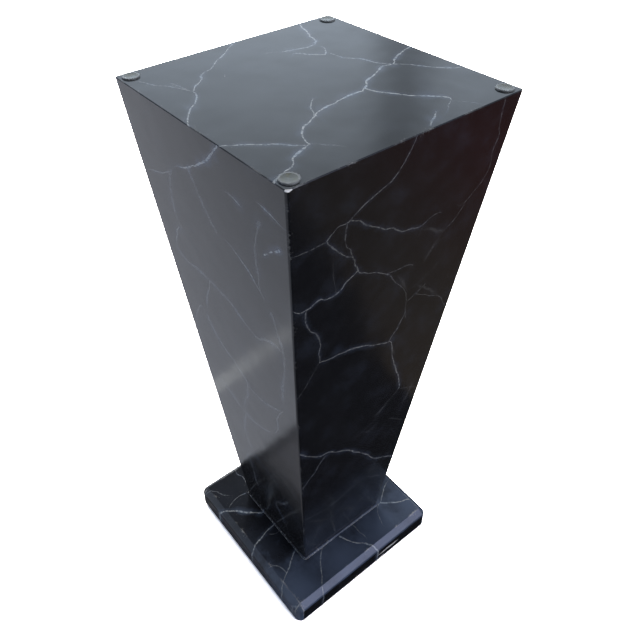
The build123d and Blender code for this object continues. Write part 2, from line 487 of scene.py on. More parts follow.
RIGHT_VEINS = (
    *veins_of(
        Stroke.CLEAR, Ends.JOINED,
        ((-2, 762), (-10, 743), (-20, 728), (-38, 718), (-57, 710), (-72, 700), (-88, 697), (-98, 688)),
        ((-98, 688), (-90, 677), (-80, 665), (-70, 656), (-62, 650), (-57, 638), (-52, 629)),
        ((-52, 629), (-40, 619), (-28, 613), (-15, 605), (-4, 597)),
        ((-72, 700), (-60, 693), (-50, 684), (-38, 677), (-25, 668), (-15, 664), (-5, 657), (5, 651),
         (15, 649), (25, 646), (38, 647)),
        ((-90, 518), (-92, 535), (-92, 550), (-97, 565), (-108, 580), (-115, 598), (-112, 612)),
        ((18, 478), (22, 486), (30, 498), (36, 515)),
        ((-60, 312), (-70, 303), (-76, 292), (-85, 280), (-96, 266)),
    ),
    *veins_of(
        Stroke.BOLD, Ends.JOINED,
        ((-52, 629), (-65, 622), (-78, 612), (-90, 612), (-100, 616), (-112, 612), (-130, 619)),
        ((-90, 518), (-78, 514), (-60, 512), (-45, 508), (-25, 500), (-10, 492), (5, 484), (18, 478)),
        ((18, 478), (25, 470), (28, 455), (32, 440), (38, 425), (45, 408), (52, 392), (57, 375), (58, 360)),
        ((-107, 360), (-93, 342), (-82, 330), (-72, 322), (-60, 318), (-50, 312), (-40, 303), (-28, 294),
         (-18, 285), (-8, 274), (3, 262)),
        ((3, 262), (12, 250), (22, 238), (30, 224), (40, 212), (50, 202), (62, 194), (72, 186), (88, 172)),
    ),
    *veins_of(
        Stroke.PLAIN, Ends.JOINED,
        ((-98, 688), (-110, 687), (-140, 690)),
        ((-4, 597), (8, 580), (20, 568), (28, 555), (33, 540), (36, 520), (40, 505)),
        ((38, 647), (50, 652), (60, 650)),
        ((-75, 698), (-75, 685), (-73, 672), (-66, 662), (-62, 650)),
        ((58, 360), (50, 350), (38, 342), (30, 328)),
        ((118, 762), (120, 730), (125, 715), (122, 700), (124, 685), (122, 672)),
        ((122, 672), (115, 662), (105, 654), (98, 648), (85, 648)),
        ((75, 622), (88, 632), (98, 648)),
        ((-10, 601), (5, 598), (15, 597), (25, 595), (33, 590)),
        ((48, 540), (62, 530), (80, 518), (95, 508), (105, 495), (120, 470)),
        ((36, 535), (48, 540), (62, 548)),
        ((-90, 518), (-98, 505), (-108, 488), (-120, 470)),
        ((58, 360), (70, 352), (82, 345), (110, 322)),
    ),
    *veins_of(
        Stroke.PLAIN, Ends.LOOSE,
        ((-92, 190), (-80, 172), (-70, 168), (-60, 163), (-50, 160), (-38, 150), (-28, 138)),
        ((10, 155), (22, 160), (35, 168), (42, 158), (52, 150), (65, 140), (84, 122)),
        ((42, 303), (55, 297), (65, 288), (75, 278), (96, 258)),
    ),
    *veins_of(
        Stroke.FAINT, Ends.FADES_OUT,
        ((80, 608), (65, 606), (55, 598), (50, 586), (55, 575)),
        ((38, 647), (33, 638), (28, 628)),
        ((75, 622), (66, 612), (52, 596), (46, 580)),
        ((30, 328), (20, 318), (5, 312), (-10, 310), (-30, 312), (-45, 305)),
        ((40, 212), (45, 198), (38, 186), (35, 172)),
        ((-15, 165), (-5, 152), (5, 145)),
        ((0, 115), (12, 105), (18, 95)),
        ((-50, 108), (-45, 90), (-40, 78)),
        ((32, 75), (42, 66), (55, 56), (66, 45)),
        ((100, 540), (112, 532), (124, 536)),
        ((-78, 612), (-84, 640), (-88, 668)),
        ((28, 555), (55, 560), (78, 575), (92, 600)),
    ),
    *veins_of(
        Stroke.SMOKE, Ends.LOOSE,
        ((30, 640), (50, 632), (66, 622), (82, 615)),
        ((66, 614), (56, 600), (50, 584)),
        ((38, 560), (55, 548), (75, 530), (95, 508)),
        ((6, 592), (22, 572), (33, 548)),
        ((20, 476), (30, 455), (38, 438)),
        ((12, 328), (32, 335), (46, 348)),
        ((-18, 300), (0, 310), (18, 300), (35, 318)),
        ((70, 300), (82, 330), (90, 365)),
        ((-82, 166), (-60, 142), (-36, 121), (-10, 116)),
        ((-62, 168), (-30, 160), (0, 168), (32, 172)),
        ((-74, 58), (-60, 90), (-50, 122), (-30, 152)),
        ((0, 58), (16, 90), (40, 112), (62, 130)),
        ((24, 78), (2, 108), (-20, 128)),
        ((70, 60), (52, 84), (46, 110)),
    ),
)
RIGHT_BLOOMS = (
    Bloom((22, 478), 18, 0.12), Bloom((-52, 629), 12, 0.12), Bloom((-60, 312), 14, 0.12),
    Bloom((-66, 520), 20, 0.12), Bloom((-70, 60), 120, 0.14), Bloom((0, 60), 120, 0.14),
    Bloom((70, 60), 120, 0.14),
)

FRONT_VEINS = (
    *veins_of(
        Stroke.BOLD, Ends.FADES_OUT,
        ((50, 762), (42, 755), (30, 742), (15, 730), (0, 720), (-20, 708), (-45, 697), (-60, 688)),
    ),
    *veins_of(
        Stroke.BOLD, Ends.JOINED,
        ((98, 668), (104, 673)),
        ((108, 677), (112, 680)),
        ((117, 684), (124, 689)),
    ),
    *veins_of(
        Stroke.CLEAR, Ends.LOOSE,
        ((92, 728), (110, 726), (125, 722), (144, 718)),
        ((42, 712), (52, 713), (65, 710), (78, 708)),
        ((-72, 606), (-84, 594), (-91, 580), (-98, 560)),
        ((12, 645), (25, 645), (40, 641), (55, 632), (70, 620), (82, 606), (94, 588)),
    ),
    *veins_of(
        Stroke.PLAIN, Ends.FADES_OUT,
        ((-60, 688), (-75, 676), (-95, 668), (-116, 661), (-135, 656)),
        ((-30, 550), (-40, 528), (-50, 508), (-54, 488), (-60, 470)),
        ((84, 420), (70, 396), (62, 360), (44, 338)),
    ),
    *veins_of(
        Stroke.SMOKE, Ends.JOINED,
        ((-58, 690), (-68, 672), (-76, 648), (-78, 624), (-72, 606)),
        ((98, 705), (90, 688), (84, 668), (81, 640), (80, 608)),
        ((-98, 560), (-80, 550), (-55, 552), (-30, 550)),
        ((-30, 550), (-10, 548), (8, 545), (25, 535), (42, 527), (60, 525)),
        ((60, 525), (75, 535), (90, 540), (105, 538)),
        ((94, 588), (100, 566), (105, 538)),
        ((-20, 708), (-12, 688), (0, 664), (12, 645)),
        ((-98, 440), (-84, 466), (-72, 480), (-60, 470)),
        ((-60, 470), (-52, 452), (-38, 436), (-12, 424), (8, 404)),
        ((8, 404), (30, 396), (56, 404), (84, 420)),
    ),
    *veins_of(
        Stroke.SMOKE, Ends.FADES_OUT,
        ((105, 538), (102, 510), (92, 470), (84, 420)),
        ((8, 404), (2, 372), (-10, 348), (-14, 318)),
        ((44, 338), (20, 324), (-14, 318), (-46, 330), (-72, 342), (-94, 362)),
        ((-14, 318), (-26, 286), (-30, 250), (-14, 216), (20, 204), (54, 178)),
        ((-14, 216), (-40, 190), (-56, 160), (-72, 148)),
        ((-40, 190), (-34, 150), (-30, 112), (-4, 96)),
        ((54, 178), (36, 150), (18, 128), (30, 96), (40, 66)),
    ),
)
FRONT_BLOOMS = (Bloom((66, 710), 14), Bloom((-52, 448), 10), Bloom((-78, 600), 16), Bloom((40, 748), 12))

BASE_VEINS = (
    *veins_of(
        Stroke.BOLD, Ends.JOINED,
        ((-28, -78), (-36, -90), (-46, -101), (-58, -112), (-66, -122), (-78, -134)),
        ((0, -78), (2, -92), (5, -105), (9, -118), (15, -134)),
        ((80, -10), (92, -4), (103, 2), (112, 12), (120, 18), (134, 24)),
    ),
    *veins_of(
        Stroke.CLEAR, Ends.JOINED,
        ((55, -78), (62, -90), (70, -102), (76, -112), (82, -122), (93, -134)),
        ((80, -42), (86, -53), (98, -63), (108, -70), (120, -79), (134, -88)),
        ((78, 82), (88, 95), (95, 107), (100, 120), (108, 134)),
    ),
    *veins_of(
        Stroke.PLAIN, Ends.FADES_OUT,
        ((-76, -82), (-77, -98), (-74, -110), (-64, -122)),
        ((14, -78), (12, -90), (3, -96)),
        ((76, -112), (66, -112), (58, -115), (52, -125), (47, -134)),
        ((80, 20), (95, 20), (105, 22), (114, 15)),
        ((78, 82), (70, 92), (60, 108), (54, 128)),
        ((78, 82), (85, 68), (100, 60), (118, 58)),
        ((-134, -60), (-116, -70), (-100, -66), (-84, -78)),
        ((-120, -134), (-112, -120), (-96, -112), (-84, -98)),
        ((-80, 34), (-98, 44), (-110, 60), (-134, 70)),
        ((-82, -20), (-100, -26), (-118, -12), (-134, -14)),
        ((-60, 80), (-70, 98), (-66, 114), (-80, 134)),
        ((10, 80), (4, 96), (14, 112), (8, 134)),
        ((32, 80), (40, 100), (34, 118)),
        ((112, -134), (122, -129), (127, -122), (134, -114)),
    ),
)
# Small blooms are thinned paint beside veins. The wide ones lay a bluish haze over the base, painted much
# stronger on its right half as painted light, where more light falls from the right.
BASE_BLOOMS_AND_PAINTED_LIGHT = (
    Bloom((-50, -104), 16), Bloom((4, -100), 14), Bloom((104, 4), 14), Bloom((78, -112), 14),
    Bloom((84, 88), 16),
    Bloom((110, -110), 120, 0.75), Bloom((110, -30), 120, 0.75), Bloom((110, 50), 120, 0.62),
    Bloom((110, 130), 120, 0.56), Bloom((20, -112), 110, 0.13), Bloom((-70, -110), 90, 0.05),
)
BASE_SCRAPES = veins_of(
    Stroke.SCRAPE, Ends.LOOSE,
    ((18, 19), (34, 18.6), (48, 19.4), (60, 19.2), (74, 20.4)),
    ((25, 8), (33, 7.6), (42, 8.2)),
)


# ---------------------------------------------------------------- finishes


class Face(Enum):
    """The two axes that a face's veins are laid out along."""

    LEVEL = ("X", "Y")
    FACING_FRONT = ("X", "Z")
    FACING_RIGHT = ("Y", "Z")


def new_material(name: str) -> tuple[bpy.types.Material, Bench]:
    """Makes an empty node material.

    Args:
        name: The material's name.

    Returns:
        The material, and the bench that its nodes go on.
    """
    material = bpy.data.materials.new(name)
    material.use_nodes = True
    material.node_tree.nodes.clear()
    return material, Bench(material.node_tree)


def show(bench: Bench, inputs: Mapping[str, Value]) -> None:
    """Ends a material with its shader.

    Args:
        bench: The material's bench.
        inputs: Values and sockets for the shader.
    """
    shader = bench.node("ShaderNodeBsdfPrincipled", inputs)
    bench.node("ShaderNodeOutputMaterial", {"Surface": shader.outputs[0]})


@dataclass(frozen=True)
class MarbledLacquer:
    """Black lacquer with veins painted along routes of their own on each face."""

    name: str
    face: Face
    veins: tuple[Vein, ...]
    blooms: tuple[Bloom, ...] = ()
    edge: Measure | None = None
    scrapes: tuple[Vein, ...] = ()
    scraped_face: Face = Face.FACING_RIGHT
    brush_width: float = 1.0  # as a share of each stroke's own width
    paint_strength: float = 1.0  # as a share of each stroke's own boldness
    rub_reach: float = 1.6 * MM
    rub_share: float = 0.35
    rub_from: float = 0.5
    ground: Colour = (0.0052, 0.0054, 0.0062, 1.0)
    ground_lift: Colour = (0.0080, 0.0084, 0.0098, 1.0)
    haze: Colour = (0.080, 0.105, 0.158, 1.0)
    paints: tuple[Colour, Colour] = ((0.31, 0.325, 0.325, 1.0), (0.19, 0.245, 0.31, 1.0))
    primer: Colour = (0.50, 0.49, 0.46, 1.0)
    roughness: float = 0.17
    roughness_variation: float = 0.035
    wave_height: float = 0.0006

    def laid_flat(self, bench: Bench, place: Value, face: Face) -> NodeSocket:
        """Turns a place on the piece into a place on the face.

        Args:
            bench: The material's bench.
            place: Place on the piece.
            face: The face's axes.

        Returns:
            The place on the face, as X and Y.
        """
        axes = bench.node("ShaderNodeSeparateXYZ", {0: place}).outputs
        across, up = face.value
        return bench.node("ShaderNodeCombineXYZ", {"X": axes[across], "Y": axes[up]}).outputs[0]

    def paint(
        self,
        bench: Bench,
        effects: Effects,
        veins: Iterable[Vein],
        spot: Value,
        pressure: Value,
        bristle: Value,
    ) -> tuple[Value, Value]:
        """Paints veins one after another.

        Args:
            bench: The material's bench.
            effects: The shared node groups.
            veins: What to paint.
            spot: Place on the face.
            pressure: Slow change of the brush's pressure.
            bristle: Quick change where the brush skips.

        Returns:
            How much line and how much haze there is at a place.
        """
        line: Value = 0.0
        haze: Value = 0.0
        for vein in veins:
            points = [Vector(point) * MM for point in vein.route]
            chord = points[-1] - points[0]
            ahead = chord.normalized()
            sideways = Vector((-ahead.y, ahead.x))
            offsets = [(point - points[0]).dot(sideways) for point in points]
            reach = max(0.5 * MM, *(abs(offset) for offset in offsets))
            mapped = bench.node(
                "ShaderNodeMapping",
                {
                    "Vector": spot,
                    "Location": (*points[0], 0.0),
                    "Rotation": (0.0, 0.0, math.atan2(chord.y, chord.x)),
                    "Scale": (chord.length, 1.0, 1.0),
                },
                vector_type="TEXTURE",
            )
            axes = bench.node("ShaderNodeSeparateXYZ", {0: mapped.outputs[0]}).outputs
            bend = bench.node("ShaderNodeFloatCurve", {"Value": axes["X"]})
            curve = bend.mapping.curves[0]
            for index, (point, offset) in enumerate(zip(points, offsets)):
                along = (point - points[0]).dot(ahead) / chord.length
                height = 0.5 + 0.5 * offset / reach
                if index in (0, len(points) - 1):
                    curve.points[0 if index == 0 else -1].location = (along, height)
                else:
                    curve.points.new(along, height)
            bend.mapping.update()
            width, boldness, haze_strength = vein.stroke.value
            fades_in, fades_out = vein.ends.value
            stroke = bench.effect(
                effects.vein,
                {
                    "Along": axes["X"],
                    "Across": axes["Y"],
                    "Bend": bend.outputs[0],
                    "Reach": reach,
                    "Length": chord.length,
                    "Width": width * MM * self.brush_width,
                    "Boldness": boldness * self.paint_strength,
                    "Haze": haze_strength * self.paint_strength,
                    "Fades In": fades_in,
                    "Fades Out": fades_out,
                    "Pressure": pressure,
                    "Bristle": bristle,
                },
            ).outputs
            line = bench.math("MAXIMUM", line, stroke["Line"])
            haze = bench.math("MAXIMUM", haze, stroke["Haze"])
        return line, haze

    def make(self, effects: Effects) -> bpy.types.Material:
        """Builds the material.

        Args:
            effects: The shared node groups.

        Returns:
            The finished material.
        """
        material, bench = new_material(self.name)
        place = bench.object_place()
        shaken = bench.effect(effects.hand, {"Place": place, "Wander": 4.0 * MM, "Jitter": 1.1 * MM})
        shaken_place = shaken.outputs["Place"]
        spot = self.laid_flat(bench, shaken_place, self.face)
        cloud = bench.grain(place, 30.0, 4.0, 0.6).outputs[0]
        pressure = bench.grain(place, 55.0, 2.0).outputs[0]
        bristle = bench.grain(place, 330.0, 2.0, 0.6).outputs[0]
        line, haze = self.paint(bench, effects, self.veins, spot, pressure, bristle)
        # The wide blooms on the base add painted light here, as a bluish haze strongest on its right half.
        for bloom in self.blooms:
            centre = (bloom.centre[0] * MM, bloom.centre[1] * MM, 0.0)
            patch = bench.effect(
                effects.bloom,
                {"Place": spot, "Centre": centre, "Radius": bloom.radius * MM, "Cloud": cloud},
            )
            haze = bench.math("MAXIMUM", haze, bench.product(patch.outputs["Mask"], bloom.strength))
        wash = bench.span(cloud, 0.50, 0.75, 0.0, 0.05)
        haze = bench.math("MAXIMUM", haze, wash)
        ground = bench.blend(bench.span(cloud, 0.35, 0.7), self.ground, self.ground_lift)
        hazed = bench.blend(haze, ground, self.haze)
        paint = bench.blend(bench.span(pressure, 0.45, 0.65, 0.0, 0.6), *self.paints)
        colour = bench.blend(bench.math("MINIMUM", line, 1.0), hazed, paint)
        if self.scrapes:
            scraped_spot = self.laid_flat(bench, shaken_place, self.scraped_face)
            scrape, _ = self.paint(bench, effects, self.scrapes, scraped_spot, pressure, bristle)
            colour = bench.blend(bench.math("MINIMUM", scrape, 1.0), colour, self.primer)
        if self.edge is not None:
            near = self.edge(bench, place)
            wear = {"Place": place, "Distance": near, "Reach": self.rub_reach, "From": self.rub_from}
            rubbed = bench.effect(effects.rub, wear).outputs["Mask"]
            colour = bench.blend(bench.product(rubbed, self.rub_share), colour, self.primer)
        skin = bench.effect(
            effects.skin,
            {"Place": place, "Roughness": self.roughness, "Variation": self.roughness_variation},
        ).outputs
        bump = bench.node(
            "ShaderNodeBump", {"Height": skin["Height"], "Distance": self.wave_height, "Strength": 1.0}
        )
        show(
            bench,
            {
                "Base Color": colour,
                "Roughness": skin["Roughness"],
                "IOR": 1.5,
                "Normal": bump.outputs[0],
            },
        )
        return material


@dataclass(frozen=True)
class RawBoard:
    """Unpainted fibreboard, as inside the column and under the base."""

    name: str = "raw_fibreboard"
    light: Colour = (0.36, 0.25, 0.15, 1.0)
    dark: Colour = (0.25, 0.165, 0.095, 1.0)
    fleck: Colour = (0.52, 0.40, 0.27, 1.0)

    def make(self, effects: Effects) -> bpy.types.Material:
        """Builds the material from short fibres, flecks and a dusty bloom.

        Args:
            effects: The shared node groups.

        Returns:
            The finished material.
        """
        material, bench = new_material(self.name)
        place = bench.object_place()
        cloud = bench.grain(place, 22.0, 4.0, 0.6).outputs[0]
        fibre = bench.grain(place, 700.0, 3.0, 0.7).outputs[0]
        fleck = bench.span(bench.grain(place, 260.0, 2.0, 0.7).outputs[0], 0.6, 0.7)
        mixed = bench.blend(bench.span(cloud, 0.3, 0.7), self.dark, self.light)
        mottled = bench.blend(bench.span(fibre, 0.35, 0.65, 0.0, 0.35), mixed, self.dark)
        colour = bench.blend(bench.product(fleck, 0.55), mottled, self.fleck)
        skin = bench.effect(effects.skin, {"Place": place, "Roughness": 0.82, "Variation": 0.08}).outputs
        bump = bench.node("ShaderNodeBump", {"Height": fibre, "Distance": 0.0003, "Strength": 0.6})
        show(
            bench,
            {"Base Color": colour, "Roughness": skin["Roughness"], "IOR": 1.45, "Normal": bump.outputs[0]},
        )
        return material


@dataclass(frozen=True)
class Softwood:
    """Planed pine of the inner battens, grain along one axis."""

    name: str
    along: Vector
    early: Colour = (0.62, 0.42, 0.23, 1.0)
    late: Colour = (0.40, 0.22, 0.10, 1.0)

    def make(self, effects: Effects) -> bpy.types.Material:
        """Builds the material from stretched rings, pores and a planed surface.

        Args:
            effects: The shared node groups.

        Returns:
            The finished material.
        """
        material, bench = new_material(self.name)
        place = bench.object_place()
        squeeze = tuple(0.07 if part else 1.0 for part in self.along)
        stretched = bench.node("ShaderNodeMapping", {"Vector": place, "Scale": squeeze}).outputs[0]
        sway = bench.moved(bench.grain(stretched, 30.0, 2.0).outputs["Color"], 0.02, "SCALE")
        rings = bench.grain(bench.moved(stretched, sway), 230.0, 1.0, 0.4).outputs[0]
        pores = bench.grain(stretched, 1500.0, 2.0, 0.6).outputs[0]
        ringed = bench.blend(bench.span(rings, 0.42, 0.6), self.early, self.late)
        colour = bench.blend(bench.span(pores, 0.55, 0.7, 0.0, 0.4), ringed, self.late)
        skin = bench.effect(effects.skin, {"Place": place, "Roughness": 0.62, "Variation": 0.1}).outputs
        bump = bench.node("ShaderNodeBump", {"Height": pores, "Distance": 0.0002, "Strength": 0.5})
        show(
            bench,
            {"Base Color": colour, "Roughness": skin["Roughness"], "IOR": 1.45, "Normal": bump.outputs[0]},
        )
        return material


@dataclass(frozen=True)
class ZincSteel:
    """Bright zinc plating on screws and nails, dulled in patches."""

    name: str = "zinc_plated_steel"
    bright: Colour = (0.62, 0.63, 0.64, 1.0)
    dull: Colour = (0.34, 0.34, 0.32, 1.0)

    def make(self, effects: Effects) -> bpy.types.Material:
        """Builds the material from spangle, dull patches and fine scratches.

        Args:
            effects: The shared node groups.

        Returns:
            The finished material.
        """
        material, bench = new_material(self.name)
        place = bench.object_place()
        patch = bench.span(bench.grain(place, 420.0, 4.0, 0.7).outputs[0], 0.42, 0.62)
        spangle = bench.node("ShaderNodeTexVoronoi", {"Vector": place, "Scale": 900.0}).outputs["Distance"]
        colour = bench.blend(patch, self.bright, self.dull)
        shaded = bench.blend(bench.span(spangle, 0.1, 0.7, 0.0, 0.35), colour, self.dull)
        skin = bench.effect(effects.skin, {"Place": place, "Roughness": 0.36, "Variation": 0.12}).outputs
        bump = bench.node("ShaderNodeBump", {"Height": spangle, "Distance": 0.00004, "Strength": 0.5})
        show(
            bench,
            {
                "Base Color": shaded,
                "Roughness": skin["Roughness"],
                "Metallic": 1.0,
                "Normal": bump.outputs[0],
            },
        )
        return material


@dataclass(frozen=True)
class Felt:
    """Dark grey wool felt of the glides."""

    name: str = "grey_felt"
    pale: Colour = (0.11, 0.11, 0.115, 1.0)
    dark: Colour = (0.03, 0.03, 0.032, 1.0)

    def make(self, effects: Effects) -> bpy.types.Material:
        """Builds the material from tangled fibres.

        Args:
            effects: The shared node groups.

        Returns:
            The finished material.
        """
        material, bench = new_material(self.name)
        place = bench.object_place()
        tangle = bench.effect(effects.hand, {"Place": place, "Wander": 1.5 * MM, "Jitter": 1.2 * MM})
        fibre = bench.grain(tangle.outputs["Place"], 1500.0, 3.0, 0.7).outputs[0]
        clump = bench.grain(place, 300.0, 3.0).outputs[0]
        tone = bench.product(bench.span(fibre, 0.35, 0.68), bench.span(clump, 0.3, 0.7, 0.5, 1.0))
        colour = bench.blend(tone, self.dark, self.pale)
        bump = bench.node("ShaderNodeBump", {"Height": fibre, "Distance": 0.0006, "Strength": 0.9})
        show(
            bench,
            {
                "Base Color": colour,
                "Roughness": bench.span(clump, 0.3, 0.7, 0.88, 1.0),
                "Sheen Weight": 0.35,
                "Sheen Roughness": 0.6,
                "Normal": bump.outputs[0],
            },
        )
        return material


@dataclass(frozen=True)
class ClearPlastic:
    """Soft clear plastic of the bumpers, yellowed in the middle, with a pale ring painted round the rim as
    a highlight.
    """

    name: str = "clear_bumper_plastic"
    reach: float = 0.133  # from the pedestal's axis to each bumper's middle, along X and along Y
    highlight_ring_from: float = 6.6 * MM  # from a bumper's middle, where the painted highlight round the rim begins
    highlight_ring_full: float = 7.9 * MM
    clear: Colour = (0.50, 0.54, 0.47, 1.0)
    yellowed: Colour = (0.50, 0.50, 0.33, 1.0)
    rim_highlight: Colour = (0.93, 0.95, 0.92, 1.0)

    def make(self, effects: Effects) -> bpy.types.Material:
        """Builds the material.

        Args:
            effects: The shared node groups.

        Returns:
            The finished material.
        """
        material, bench = new_material(self.name)
        place = bench.object_place()
        folded = bench.moved(place, (0.0, 0.0, 0.0), "ABSOLUTE")
        sideways = bench.moved(folded, (1.0, 1.0, 0.0), "MULTIPLY")
        away = bench.measure("DISTANCE", sideways, (self.reach, self.reach, 0.0))
        cloud = bench.grain(place, 190.0, 3.0).outputs[0]
        scratch = bench.grain(bench.moved(place, (1.0, 9.0, 1.0), "MULTIPLY"), 320.0, 2.0, 0.7).outputs[0]
        centre = bench.blend(bench.span(cloud, 0.42, 0.6), self.clear, self.yellowed)
        # Painted highlight: a pale ring round the rim, where its rounded edge catches the light.
        rim = bench.span(away, self.highlight_ring_from, self.highlight_ring_full)
        painted_highlight = bench.product(rim, bench.span(cloud, 0.3, 0.6, 0.5, 1.0))
        skin = bench.effect(effects.skin, {"Place": place, "Roughness": 0.16, "Variation": 0.06}).outputs
        bump = bench.node("ShaderNodeBump", {"Height": scratch, "Distance": 0.00005, "Strength": 0.5})
        show(
            bench,
            {
                "Base Color": bench.blend(painted_highlight, centre, self.rim_highlight),
                "Roughness": skin["Roughness"],
                "IOR": 1.49,
                "Transmission Weight": 0.86,
                "Normal": bump.outputs[0],
            },
        )
        return material


# ---------------------------------------------------------------- shaping


def arc(radius: float, start: float, end: float, segments: int) -> list[tuple[float, float]]:
    """Divides a rounding into steps.

    Args:
        radius: Radius of the rounding.
        start: Direction at its start, in degrees from straight up towards straight in.
        end: Direction at its end.
        segments: Number of steps.

    Returns:
        For each step, how far it goes in and how far up.
    """
    turns = [math.radians(start + (end - start) * step / segments) for step in range(segments + 1)]
    return [
        (radius * (math.cos(a) - math.cos(b)), radius * (math.sin(b) - math.sin(a)))
        for a, b in zip(turns, turns[1:])
    ]


def raise_face(mesh: Mesh, face: bmesh.types.BMFace, steps: Iterable[tuple[float, float]]) -> None:
    """Grows a solid from a flat face, one ring for each step.

    Args:
        mesh: The mesh being shaped.
        face: The face that moves; it stays the solid's end.
        steps: For each ring, how far in and how far along the face's normal.
    """
    for inward, upward in steps:
        bmesh.ops.inset_region(
            mesh,
            faces=[face],
            thickness=abs(inward),
            depth=upward,
            use_boundary=True,
            use_even_offset=True,
            use_outset=inward < 0,
        )


def rounded_square(half: float, radius: float, height: float, segments: int) -> Mesh:
    """Starts a mesh with one level face, square with rounded corners.

    Args:
        half: Half its side.
        radius: Radius of its corners.
        height: Its height.
        segments: Steps in each corner.

    Returns:
        A mesh with that one face, facing up.
    """
    mesh = bmesh.new()
    bmesh.ops.create_grid(mesh, x_segments=1, y_segments=1, size=half)
    bmesh.ops.translate(mesh, verts=mesh.verts, vec=(0.0, 0.0, height))
    bmesh.ops.bevel(
        mesh,
        geom=mesh.verts,
        offset=radius,
        offset_type="OFFSET",
        affect="VERTICES",
        segments=segments,
        profile=0.5,
        material=-1,
    )
    return mesh


def disc(radius: float, height: float, segments: int, centre: tuple[float, float]) -> Mesh:
    """Starts a mesh with one level round face.

    Args:
        radius: Its radius.
        height: Its height.
        segments: Steps round it.
        centre: Where its middle stands.

    Returns:
        A mesh with that one face, facing up.
    """
    mesh = bmesh.new()
    bmesh.ops.create_circle(mesh, cap_ends=True, segments=segments, radius=radius)
    bmesh.ops.translate(mesh, verts=mesh.verts, vec=(*centre, height))
    bmesh.ops.recalc_face_normals(mesh, faces=mesh.faces)
    if mesh.faces[:][0].normal.z < 0:
        bmesh.ops.reverse_faces(mesh, faces=mesh.faces)
    return mesh


def close_below(mesh: Mesh) -> bmesh.types.BMFace:
    """Closes the open lower rim of a mesh and returns the new face."""
    rim = [edge for edge in mesh.edges if edge.is_boundary]
    made = bmesh.ops.holes_fill(mesh, edges=rim, sides=0)
    bmesh.ops.recalc_face_normals(mesh, faces=mesh.faces)
    return made["faces"][0]


def picked(parts: Iterable[object], kind: type) -> list:
    """Picks the parts of one kind out of what an operator made."""
    return [part for part in parts if isinstance(part, kind)]


def cut_away(mesh: Mesh, point: Sequence[float], outward: Sequence[float], slot: int) -> None:
    """Cuts a solid by a plane, throws the outward part away and closes the cut.

    Args:
        mesh: The mesh being shaped.
        point: A point on the plane.
        outward: The side that goes.
        slot: Material slot of the new face.
    """
    geometry = [*mesh.verts, *mesh.edges, *mesh.faces]
    cut = bmesh.ops.bisect_plane(
        mesh, geom=geometry, plane_co=point, plane_no=outward, clear_outer=True, dist=1e-6
    )
    rim = picked(cut["geom_cut"], bmesh.types.BMEdge)
    for face in bmesh.ops.holes_fill(mesh, edges=rim, sides=0)["faces"]:
        face.material_index = slot


@dataclass
class Piece:
    """One visible piece: a finished mesh, what it stands for and what it is made of."""

    name: str
    mesh: Mesh
    materials: Sequence[bpy.types.Material]
    replaces: Sequence[str]
    slot: str
    sharp_degrees: float = 38.0

    def place(self) -> None:
        """Turns the mesh into an object that rides on the pedestal."""
        bmesh.ops.remove_doubles(self.mesh, verts=self.mesh.verts, dist=1e-7)
        bmesh.ops.recalc_face_normals(self.mesh, faces=self.mesh.faces)
        data = bpy.data.meshes.new(self.name)
        self.mesh.to_mesh(data)
        self.mesh.free()
        for material in self.materials:
            data.materials.append(material)
        data.shade_smooth()
        data.set_sharp_from_angle(angle=math.radians(self.sharp_degrees))
        made = bpy.data.objects.new(self.name, data)
        bpy.context.scene.collection.objects.link(made)
        even = made.modifiers.new("flat faces", "WEIGHTED_NORMAL")
        even.keep_sharp = True
        even.weight = 100
        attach(made, BODY)
        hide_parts(*self.replaces)
        LOG.info("%s: %d faces, stands for %s", self.name, len(data.polygons), ", ".join(self.replaces))


# ---------------------------------------------------------------- the pedestal's parts


SIDE_TURNS = {"right": 0.0, "back": 90.0, "left": 180.0, "front": 270.0}
CORNER_SIGNS = {"back_right": (1, 1), "back_left": (-1, 1), "front_left": (-1, -1), "front_right": (1, -1)}


